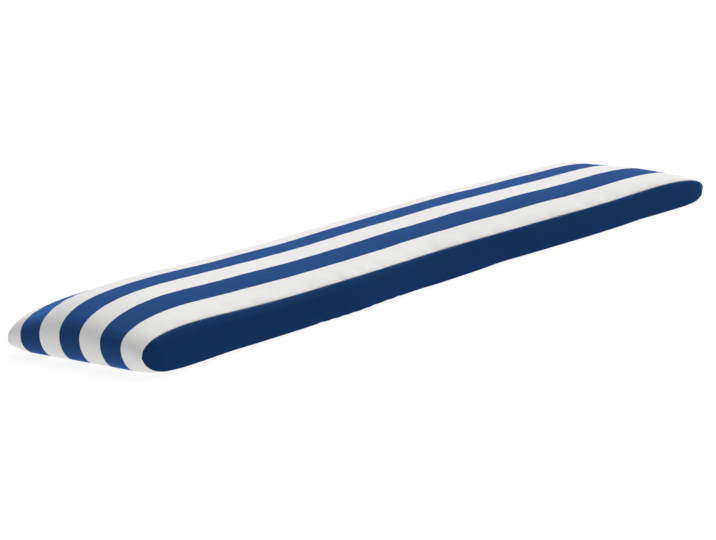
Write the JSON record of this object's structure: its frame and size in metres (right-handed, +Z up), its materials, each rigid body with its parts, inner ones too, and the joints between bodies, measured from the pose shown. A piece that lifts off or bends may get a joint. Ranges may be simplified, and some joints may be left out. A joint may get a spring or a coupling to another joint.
{
  "type": "bench cushion",
  "caption": "Long, low filled bench cushion with a crowned striped top, round wrapped ends and plain side panels.",
  "frame": {"origin": "middle of the cushion in plan, on the surface it lies on", "axes": "+X along the length, away from the end nearest the camera in the picture; -Y towards the front long side; +Z up through the crown"},
  "size_m": [1.5262, 0.4694, 0.1107],
  "materials": {
    "striped_cloth": "matt woven outdoor cloth, broad blue and cream stripes along the length",
    "plain_cloth": "matt woven outdoor cloth, plain dark blue"
  },
  "bodies": {
    "root": {"striped_body": "striped_cloth", "front_panel": "plain_cloth", "back_panel": "plain_cloth"}
  },
  "joints": []
}
